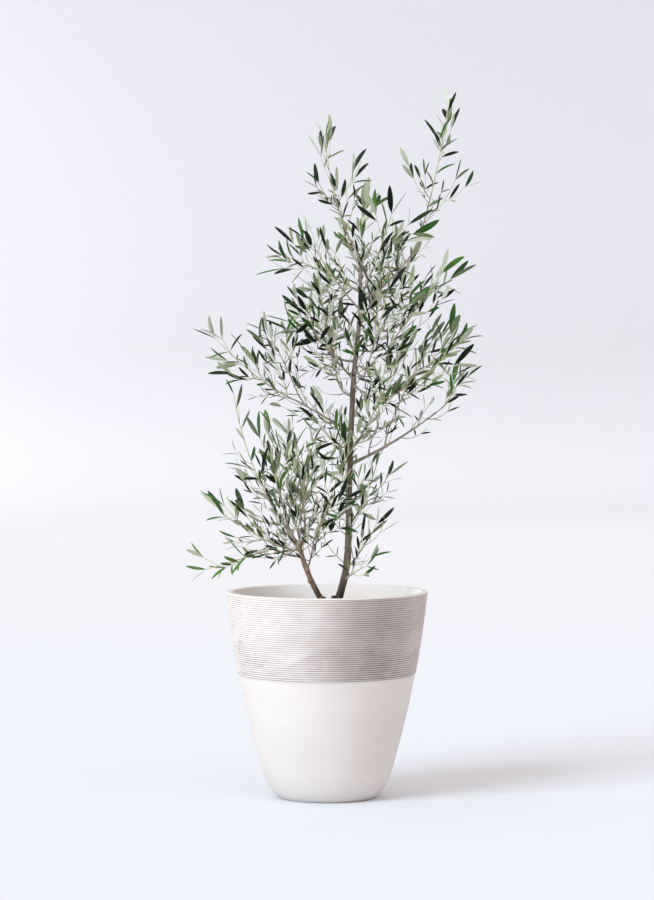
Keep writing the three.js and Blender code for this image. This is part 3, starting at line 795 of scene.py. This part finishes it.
def make_soil():
    rim = wall_radius(SOIL_HEIGHT) - WALL - 2 * GAP
    profile = [(0, WALL + GAP), (HEEL_CORNER[0] - WALL - GAP, WALL + GAP)]
    profile += [(wall_radius(z) - WALL - GAP, z) for z in np.linspace(HEEL[1], SOIL_HEIGHT - 3, 8)]
    profile += [(radius, SOIL_HEIGHT) for radius in np.linspace(rim, 0, SOIL_RINGS)]
    soil = turned_body(profile, SOIL_STEPS)
    spots = spots_of(soil)
    for k, (x, y, z) in enumerate(spots):
        if z > (SOIL_HEIGHT - 1) * MM:
            spots[k, 2] = soil_height(x, y) * MM
    move_spots(soil, spots)
    finish_piece("potting_soil", ["soil"], [loose_soil])


def make_crumbs():
    start_piece()
    bpy.ops.mesh.primitive_ico_sphere_add(subdivisions=1, radius=1)
    shape_all()
    bpy.ops.transform.vertex_random(offset=0.25, seed=3)
    bpy.ops.object.mode_set(mode="OBJECT")
    crumb = bpy.context.object
    shape = spots_of(crumb)
    faces = [tuple(face.vertices) for face in crumb.data.polygons]
    bpy.data.objects.remove(crumb)
    draw = draws(CRUMB_SEED)
    spots = []
    for _ in range(CRUMBS):
        radius, turn = math.sqrt(draw(0, 1)) * CRUMB_REACH * MM, draw(0, 2 * math.pi)
        x, y = radius * math.cos(turn), radius * math.sin(turn)
        size = draw(*CRUMB_SIZE) * MM
        shares = point([draw(*limits) for limits in CRUMB_SHARES])
        spin = draw(0, 2 * math.pi)
        c, s = math.cos(spin), math.sin(spin)
        made = shape * shares * size @ np.array([[c, s, 0], [-s, c, 0], [0, 0, 1]])
        spots.append(made + (x, y, soil_height(x, y) * MM + CRUMB_LIFT * size))
    crumbs = joined_copies(np.array(spots), faces)
    finish_piece("soil_crumbs", [], [loose_soil])
    crumbs.data.shade_flat()


# The wood: each limb is a round bar along its path, and the bars of one stem grow together in one skin
def limb_bar(path, radii):
    start_piece()
    bpy.ops.curve.primitive_nurbs_path_add()
    curve = bpy.context.object.data
    curve.splines.clear()
    line = curve.splines.new("POLY")
    line.points.add(len(path) - 1)
    for spot, place, radius in zip(line.points, path, radii):
        spot.co = (*(place * MM), 1)
        spot.radius = radius
    curve.bevel_depth = MM
    curve.bevel_resolution = 5
    curve.use_fill_caps = True
    bpy.ops.object.convert(target="MESH")
    return bpy.context.object


def knot(place, size):
    start_piece()
    bpy.ops.mesh.primitive_uv_sphere_add(segments=20, ring_count=12, radius=MM, location=place * MM)
    bpy.ops.transform.resize(value=tuple(size))
    bpy.ops.object.transform_apply(location=True, rotation=True, scale=True)
    return bpy.context.object


def girths_of(spots):
    """The radius of the limb that is nearest to each spot."""
    girths = []
    for batch in np.array_split(spots, max(1, len(spots) // 4000)):
        girths.append(limb_radii[(distances(batch, limb_starts, limb_ends) - limb_radii).argmin(1)])
    return np.concatenate(girths)


def collared(path, radii):
    """The radii of a bough, which swells where it starts."""
    swells = [COLLAR_SWELL * math.exp(-length_of(path[:k + 1]) / COLLAR_LENGTH) for k in range(len(path))]
    return [radius * (1 + swell) for radius, swell in zip(radii, swells)]


def make_wood(name, stem, boughs, knots, ridge, material):
    bars = [limb_bar(*limbs[stem])]
    for bough in boughs:
        path, radii = limbs[bough]
        bars.append(limb_bar(path, collared(path, radii)))
    bars += [knot(point(place), size) for place, size in knots]
    start_piece()
    for bar in bars:
        bar.select_set(True)
    bpy.context.view_layer.objects.active = bars[0]
    bpy.ops.object.join()
    wood = bpy.context.object
    apply_modifier(wood, "REMESH", mode="VOXEL", voxel_size=WOOD_GRAIN * MM, use_smooth_shade=True)
    apply_modifier(wood, "SMOOTH", factor=0.6, iterations=6)
    spots = spots_of(wood)
    normals = spots_of(wood, "normal")
    for k, spot in enumerate(spots):
        bark = noise.fractal(Vector(spot * BARK_RIDGES), 1.0, 2.0, 3)
        lumps = noise.noise(Vector(spot * BARK_LUMPS))
        spots[k] += normals[k] * (bark * ridge + lumps * ridge * LUMP_SHARE) * MM
    spots[:, 2] = np.maximum(spots[:, 2], (SOIL_HEIGHT - WOOD_DEPTH) * MM)
    move_spots(wood, spots)
    mark_spots(wood, "youth", np.interp(girths_of(spots / MM), YOUNG_GIRTH, (1, 0)))
    finish_piece(name, [stem, *boughs], [material])


# One leaf, modelled once: a bar drawn out from its stalk to its tip and pressed flat. Along x it is 1
# long, and across y it is 1 wide at its widest.
def leaf_pattern():
    start_piece()
    bpy.ops.mesh.primitive_circle_add(vertices=LEAF_SIDES, radius=0.5, fill_type="NGON",
                                      rotation=(0, math.pi / 2, 0))
    bpy.ops.object.transform_apply(location=False, rotation=True, scale=False)
    shape_all()
    place, (wide, thick) = 0, (1, 1)
    for x, width, height in LEAF_STATIONS:
        extrude_by(x - place, 0, 0)
        bpy.ops.transform.resize(value=(1, width / wide, height / thick), center_override=(x, 0, 0))
        place, (wide, thick) = x, (width, height)
    extrude_by(1 - place, 0, 0)
    bpy.ops.mesh.merge(type="CENTER")
    bpy.ops.object.mode_set(mode="OBJECT")
    leaf = bpy.context.object
    select_spots(leaf, lambda place: place.x < 1e-4)
    bpy.ops.object.mode_set(mode="EDIT")
    bpy.ops.mesh.merge(type="CENTER")
    close_shape()
    spots = spots_of(leaf)
    faces = [tuple(face.vertices) for face in leaf.data.polygons]
    is_under = np.array([face.center.z < 0 for face in leaf.data.polygons])
    bpy.data.objects.remove(leaf)
    return spots, faces, is_under


# The leaves of several masses in one piece, each bent, cupped and coloured by its own numbers
def make_leaves(name, nodes, leaves, pattern):
    shape, faces, is_under = pattern
    values = {key: np.array([leaf[key] for leaf in leaves]) for key in leaves[0]}
    single = ("size", "width", "arch", "cup", "bow")
    size, width, arch, cup, bow = (values[key][:, None, None] for key in single)
    root, line, edge, upwards = (values[key][:, None] for key in ("root", "line", "edge", "face"))
    x, y, z = (shape[None, :, k, None] for k in range(3))
    lift = z * size + np.abs(y) * width * mix(*LEAF_CUP, cup) - LEAF_SAG * arch * size * x**2
    sway = y * width + bow * size * x * (BOW_SHAPE[0] * x + BOW_SHAPE[1])
    spots = (root + line * x * size + edge * sway + upwards * lift) * MM
    # Along, across and up a leaf mirror the pattern's axes, so its faces are turned round
    piece = joined_copies(spots, [face[::-1] for face in faces])
    greens = len(UPPER_GREENS)
    by_age, by_chance, by_all = GREEN_SHARES
    shade = values["age"] * by_age + values["upper"] * by_chance + by_all
    # Lower depths give paler greens: painted light on the low left masses
    shade = np.clip(shade * values["depth"], 0, 0.999)
    upper = (greens - 1 - np.floor(shade * greens)).astype(int)
    under = greens + np.floor(values["under"] * len(UNDER_GREENS)).astype(int)
    slots = np.where(is_under[None], under[:, None], upper[:, None])
    finish_piece(name, nodes, leaf_materials)
    piece.data.polygons.foreach_set("material_index", slots.astype(np.int32).ravel())
    bpy.ops.object.shade_smooth_by_angle(angle=math.radians(60))


# The twigs of several masses in one piece: tapering bars, brown where they are old and green at the tips
def make_twigs(name, nodes, twigs, sides=7):
    spots, faces, slots = [], [], []
    for twig in twigs:
        path = twig["path"]
        first = len(spots)
        last = len(path) - 1
        reference = reference_of(path)
        for k, place in enumerate(path):
            axis = unit(path[min(k + 1, last)] - path[max(k - 1, 0)])
            radius = mix(twig["root"], twig["end"], k / last)
            for side in range(sides):
                spots.append((place + side_of(axis, reference, 2 * math.pi * side / sides) * radius) * MM)
        root_cap = path[0] - unit(path[1] - path[0]) * twig["root"]
        spots += [root_cap * MM, (path[-1] + axis * twig["end"]) * MM]
        base, tip = len(spots) - 2, len(spots) - 1
        old = twig.get("old", OLD_SHARES[twig["order"]])
        for side in range(sides):
            after = (side + 1) % sides
            faces.append((base, first + side, first + after))
            slots.append(0 if old else 1)
            for k in range(last):
                low, high = first + k * sides, first + (k + 1) * sides
                faces.append((low + side, high + side, high + after, low + after))
                slots.append(0 if k / last < old else 1)
            faces.append((first + last * sides + side, tip, first + last * sides + after))
            slots.append(1)
    piece = joined_copies(np.array([spots]), faces)
    bpy.ops.object.mode_set(mode="EDIT")
    close_shape()
    finish_piece(name, nodes, [young_bark, green_shoot])
    piece.data.polygons.foreach_set("material_index", np.array(slots, np.int32))
    bpy.ops.object.shade_smooth()


# Materials
def srgb(red, green, blue):
    return tuple(c / 12.92 if c <= 0.04045 else ((c + 0.055) / 1.055) ** 2.4
                 for c in (red / 255, green / 255, blue / 255)) + (1,)


def node_group(name, inputs, outputs):
    """A group of nodes, whose sockets are given by name and kind, with its first and its last node."""
    group = bpy.data.node_groups.new(name, "ShaderNodeTree")
    for way, sockets in (("INPUT", inputs), ("OUTPUT", outputs)):
        for label, kind in sockets.items():
            group.interface.new_socket(label, in_out=way, socket_type=f"NodeSocket{kind}")
    return group, group.nodes.new("NodeGroupInput"), group.nodes.new("NodeGroupOutput")


def add_node(tree, kind, inputs, **settings):
    """A node whose inputs are given as values or as the outputs of other nodes."""
    node = tree.nodes.new(f"ShaderNode{kind}")
    for key, value in settings.items():
        setattr(node, key, value)
    for key, value in inputs.items():
        if isinstance(value, bpy.types.NodeSocket):
            tree.links.new(value, node.inputs[key])
        else:
            node.inputs[key].default_value = value
    return node


def object_place(tree):
    return add_node(tree, "TexCoord", {}).outputs["Object"]


def blended(tree, amount, first, second):
    """The colour that goes from the first to the second as the amount goes from 0 to 1."""
    blend = add_node(tree, "Mix", {"Factor": amount, "A": first, "B": second}, data_type="RGBA")
    return blend.outputs["Result"]


def stretched_noise(group, given, settings):
    """Noise at the scale that the group is given, drawn out along the axes by its stretch."""
    stretch = add_node(group, "VectorMath", {0: object_place(group), 1: given.outputs["Stretch"]},
                       operation="MULTIPLY")
    settings = {"Vector": stretch.outputs[0], "Scale": given.outputs["Scale"], **settings}
    return add_node(group, "TexNoise", settings).outputs["Fac"]


def mottle_group():
    """A base colour that wanders between two tones, in patches that may be drawn out along an axis."""
    given = {"Dark": "Color", "Light": "Color", "Scale": "Float", "Stretch": "Vector"}
    group, given, out = node_group("mottle", given, {"Color": "Color", "Mask": "Float"})
    patches = stretched_noise(group, given, {"Detail": 5, "Roughness": 0.6})
    spread = add_node(group, "MapRange", {"From Min": 0.3, "From Max": 0.7, "Value": patches})
    mask = spread.outputs["Result"]
    tone = blended(group, mask, given.outputs["Dark"], given.outputs["Light"])
    group.links.new(tone, out.inputs["Color"])
    group.links.new(mask, out.inputs["Mask"])
    return group


def relief_group():
    """A fine bump of grain, which may be drawn out along an axis."""
    given = {"Scale": "Float", "Strength": "Float", "Stretch": "Vector"}
    group, given, out = node_group("relief", given, {"Normal": "Vector"})
    bump = {"Distance": 0.5 * MM, "Height": stretched_noise(group, given, {"Detail": 4})}
    bump = add_node(group, "Bump", {**bump, "Strength": given.outputs["Strength"]})
    group.links.new(bump.outputs["Normal"], out.inputs["Normal"])
    return group


MOTTLE = mottle_group()
RELIEF = relief_group()
ROUGHNESS_SPREAD = 0.06


def finish(name, dark, light, scale, stretch, roughness, relief, shine):
    """A material mottled between two tones, in patches of a scale and a stretch, over a fine relief."""
    material = bpy.data.materials.new(name)
    material.use_nodes = True
    tree = material.node_tree
    shader = tree.nodes["Principled BSDF"]
    tones = {"Dark": srgb(*dark), "Light": srgb(*light), "Scale": scale, "Stretch": stretch}
    mottle = add_node(tree, "Group", tones, node_tree=MOTTLE)
    rough = {"To Min": roughness + ROUGHNESS_SPREAD, "To Max": roughness - ROUGHNESS_SPREAD,
             "Value": mottle.outputs["Mask"]}
    rough = add_node(tree, "MapRange", rough)
    grain = {"Scale": relief[0], "Strength": relief[1], "Stretch": stretch}
    grain = add_node(tree, "Group", grain, node_tree=RELIEF)
    tree.links.new(mottle.outputs["Color"], shader.inputs["Base Color"])
    tree.links.new(rough.outputs["Result"], shader.inputs["Roughness"])
    tree.links.new(grain.outputs["Normal"], shader.inputs["Normal"])
    shader.inputs["Specular IOR Level"].default_value = shine
    return material


def second_tone(material, attribute, dark, light):
    """Turns the material's mottled colour into another pair of tones, as far as the attribute says."""
    tree = material.node_tree
    first = next(node for node in tree.nodes if node.type == "GROUP" and node.node_tree == MOTTLE)
    tones = {key: first.inputs[key].default_value for key in ("Scale", "Stretch")}
    tones.update({"Dark": srgb(*dark), "Light": srgb(*light)})
    second = add_node(tree, "Group", tones, node_tree=MOTTLE)
    amount = add_node(tree, "Attribute", {}, attribute_name=attribute)
    tone = blended(tree, amount.outputs["Fac"], first.outputs["Color"], second.outputs["Color"])
    tree.links.new(tone, tree.nodes["Principled BSDF"].inputs["Base Color"])
    return tone


def weather_and_shade_bark(material, dark, light):
    """Thin wood is paler, and bark near the soil is darker, as far up as damp and painted shade reach."""
    tree = material.node_tree
    tone = second_tone(material, "youth", dark, light)
    # Darker near the soil: partly damp, partly painted shade
    height = add_node(tree, "SeparateXYZ", {"Vector": object_place(tree)}).outputs["Z"]
    damp_and_shade = {"From Min": SOIL_HEIGHT * MM, "From Max": DAMP_AND_SHADE_HEIGHT * MM, "To Min": DAMP_AND_SHADE_TONE, "Value": height}
    damp_and_shade = add_node(tree, "MapRange", damp_and_shade, interpolation_type="SMOOTHSTEP").outputs["Result"]
    darkened = add_node(tree, "VectorMath", {0: tone, "Scale": damp_and_shade}, operation="SCALE")
    tree.links.new(darkened.outputs["Vector"], tree.nodes["Principled BSDF"].inputs["Base Color"])


def clay_with_painted_shade(name, clear, painted_shade_tones, scale, stretch, roughness, shine):
    """The clay of the band, which has another, darker pair of tones where painted shade lies on the band's
    right side.
    """
    clay = finish(name, *clear, scale, stretch, roughness, (900.0, 0.2), shine)
    second_tone(clay, "painted_shade", *painted_shade_tones)
    return clay


pot_clay = finish("pot_clay", (214, 206, 202), (220, 213, 209), 9, (1, 1, 1.6), 0.62, (900.0, 0.12), 0.4)
# A paler clay for the inner wall: painted light
inner_clay_painted_light = finish("inner_clay_painted_light", (248, 244, 243), (252, 249, 248), 9, (1, 1, 1.6), 0.62, (900.0, 0.12), 0.4)
# The band's clays take a second, darker pair of tones on the right: painted shade
band_clay = clay_with_painted_shade("band_clay", ((214, 207, 204), (223, 216, 214)),
                         ((180, 168, 165), (195, 184, 181)), 14, (1, 1, 2), 0.66, 0.35)
# Darker clays for the grooves: painted shade
darker_groove_painted_shade_clay = clay_with_painted_shade("darker_groove_painted_shade_clay", ((154, 142, 137), (196, 186, 182)),
                           ((118, 102, 98), (158, 143, 139)), 30, (1, 1, 3), 0.75, 0.3)
paler_groove_painted_shade_clay = clay_with_painted_shade("paler_groove_painted_shade_clay", ((176, 165, 161), (208, 199, 195)),
                                ((138, 123, 119), (168, 154, 150)), 14, (1, 1, 2), 0.75, 0.3)
# The darkest clay, for the groove under the band's step: painted shade
band_edge_painted_shade_clay = clay_with_painted_shade("band_edge_painted_shade_clay", ((112, 100, 95), (152, 140, 134)),
                         ((78, 66, 62), (112, 99, 94)), 30, (1, 1, 3), 0.8, 0.3)
loose_soil = finish("loose_soil", (38, 28, 21), (86, 66, 49), 160, (1, 1, 1), 0.95, (600.0, 0.9), 0.2)
old_bark = finish("old_bark", (56, 48, 41), (130, 117, 103), 90, (1, 1, 0.3), 0.85, (500.0, 0.7), 0.2)
stem_bark = finish("stem_bark", (86, 65, 53), (164, 138, 118), 90, (1, 1, 0.3), 0.85, (500.0, 0.6), 0.2)
young_bark = finish("young_bark", (126, 116, 100), (184, 173, 153), 80, (1, 1, 0.3), 0.8, (500.0, 0.4), 0.2)
green_shoot = finish("green_shoot", (160, 161, 128), (206, 206, 172), 60, (1, 1, 1), 0.7, (500.0, 0.2), 0.25)
for bark in (old_bark, stem_bark):
    weather_and_shade_bark(bark, (106, 96, 87), (168, 157, 145))
leaf_materials = [finish(f"leaf_green_{k + 1}", dark, light, 40, (1, 1, 1), 0.45, (700.0, 0.12), 0.15)
                  for k, (dark, light) in enumerate(UPPER_GREENS)]
leaf_materials += [finish(f"leaf_silver_{k + 1}", dark, light, 40, (1, 1, 1), 0.75, (900.0, 0.12), 0.25)
                   for k, (dark, light) in enumerate(UNDER_GREENS)]

# The object
make_pot()
make_soil()
make_crumbs()
stem_boughs = [row[0] for row in BOUGHS if row[0].startswith("stem_")]
trunk_boughs = [row[0] for row in BOUGHS if row[0] not in stem_boughs]
make_wood("trunk_wood", "trunk", trunk_boughs, TRUNK_KNOTS, 0.3, old_bark)
make_wood("second_stem_wood", "second_stem", stem_boughs, STEM_KNOTS, 0.25, stem_bark)
rows = {row[0]: row for row in MASSES}
leaf_shape = leaf_pattern()
for part, members in CROWN_PARTS.items():
    nodes = [f"{member}_foliage" for member in members]
    twigs = {node: twigs_of(*rows[node]) for node in nodes}
    make_twigs(f"twigs_{part}", nodes, [twig for node in nodes for twig in twigs[node]])
    leaves = [leaf for node in nodes for twig in twigs[node] for leaf in leaves_of(node, twig)]
    make_leaves(f"leaves_{part}", nodes, leaves, leaf_shape)
shoots = inner_shoots()
make_twigs("twigs_inner", [], shoots)
make_leaves("leaves_inner", [], [leaf for shoot in shoots for leaf in leaves_of(None, shoot)], leaf_shape)


# The floor, which sweeps up into the backdrop
def studio_paper():
    """Paper whose tone changes slowly with its distance and its height, darker further back and higher up:
    painted shade.
    """
    material = bpy.data.materials.new("studio_paper")
    material.use_nodes = True
    tree = material.node_tree
    parts = add_node(tree, "SeparateXYZ", {"Vector": object_place(tree)})
    tone = add_node(tree, "RGB", {}).outputs["Color"]
    tone.default_value = srgb(*FLOOR_TONE)
    for axis, low, high, colour in PAPER_PAINTED_SHADE_TONES:
        limits = {"From Min": low, "From Max": high, "Value": parts.outputs[axis]}
        reach = add_node(tree, "MapRange", limits, interpolation_type="SMOOTHSTEP")
        tone = blended(tree, reach.outputs["Result"], tone, srgb(*colour))
    shader = tree.nodes["Principled BSDF"]
    tree.links.new(tone, shader.inputs["Base Color"])
    shader.inputs["Roughness"].default_value = 0.95
    shader.inputs["Specular IOR Level"].default_value = 0.1
    return material


start_piece()
bpy.ops.mesh.primitive_plane_add(size=FLOOR_SIZE, location=(0, SWEEP_START - FLOOR_SIZE / 2, 0))
bpy.ops.object.transform_apply(location=True, rotation=True, scale=True)
floor = bpy.context.object
select_spots(floor, lambda place: place.y > 0)
bpy.ops.object.mode_set(mode="EDIT")
for k in range(SWEEP_STEPS):
    turn, after = math.pi / 2 * k / SWEEP_STEPS, math.pi / 2 * (k + 1) / SWEEP_STEPS
    rise = SWEEP_RADIUS * (math.cos(turn) - math.cos(after))
    extrude_by(0, SWEEP_RADIUS * (math.sin(after) - math.sin(turn)), rise)
extrude_by(0, 0, BACKDROP_RISE)
bpy.ops.object.mode_set(mode="OBJECT")
bpy.ops.object.shade_smooth()
floor.name = "floor"
floor.data.materials.append(studio_paper())

# Light and camera
world = bpy.data.worlds.new("studio")
world.use_nodes = True
world.node_tree.nodes["Background"].inputs["Color"].default_value = FILL_COLOUR
world.node_tree.nodes["Background"].inputs["Strength"].default_value = FILL_STRENGTH
bpy.context.scene.world = world
bpy.context.scene.view_settings.view_transform = "Standard"


def light(name, kind, place, target, energy, colour, **settings):
    lamp = bpy.data.lights.new(name, kind)
    lamp.energy = energy
    lamp.color = colour
    for key, value in settings.items():
        setattr(lamp, key, value)
    holder = bpy.data.objects.new(name, lamp)
    bpy.context.scene.collection.objects.link(holder)
    holder.location = place
    holder.rotation_euler = (Vector(target) - Vector(place)).to_track_quat("-Z", "Y").to_euler()


light("window_light", "SUN", (-1.85, -1.85, 1.6), (0, 0, 0), 2.2, (0.75, 0.905, 1.0), angle=math.radians(30))
light("rim_light", "SPOT", (-1.5, -0.95, 0.72), (0.06, 0.05, 0.31), 70, (0.97, 0.98, 1.0),
      spot_size=math.radians(14), spot_blend=0.9, shadow_soft_size=0.2)
light("backdrop_light", "AREA", (-3.6, 8.2, 1.5), (-1.9, 10.4, 1.0), 33, (0.97, 0.98, 1.0),
      shape="DISK", size=1.6)

camera = bpy.data.objects.new("camera", bpy.data.cameras.new("camera"))
bpy.context.scene.collection.objects.link(camera)
camera.location = (0, -CAMERA_DISTANCE, CAMERA_HEIGHT)
camera.rotation_euler = (math.radians(90 - CAMERA_DIP), 0, 0)
camera.data.lens = CAMERA_LENS
camera.data.sensor_width = FILM_WIDTH
camera.data.clip_end = 50
bpy.context.scene.camera = camera
